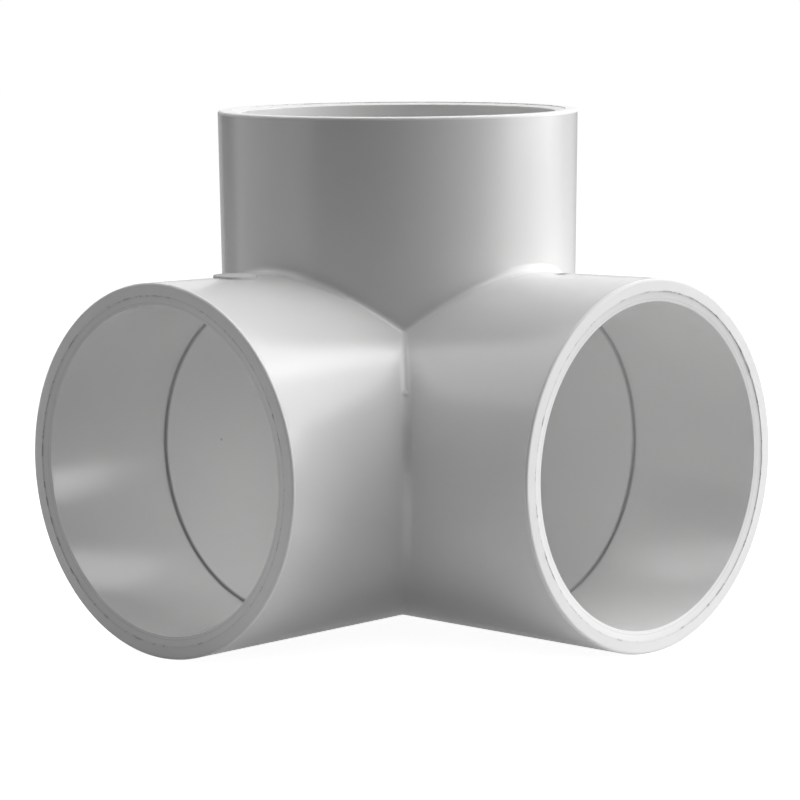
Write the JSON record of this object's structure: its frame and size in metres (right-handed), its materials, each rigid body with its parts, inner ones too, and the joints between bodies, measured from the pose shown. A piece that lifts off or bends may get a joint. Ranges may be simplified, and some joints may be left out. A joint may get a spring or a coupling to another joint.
{
  "type": "side outlet elbow",
  "caption": "Hollow moulded corner fitting with equal plain pipe sockets at right angles, shallow lead-in rings, pipe stops inside and a rounded heel.",
  "frame": {"origin": "the point where the axes of the sockets meet", "axes": "+X, +Y and +Z each run out of one socket along its axis; +Z is the upright side outlet"},
  "size_m": [0.0982, 0.0982, 0.0982],
  "materials": {
    "white_pvc": "as moulded, semi-gloss"
  },
  "bodies": {
    "root": {"elbow_body": "white_pvc"}
  },
  "joints": []
}
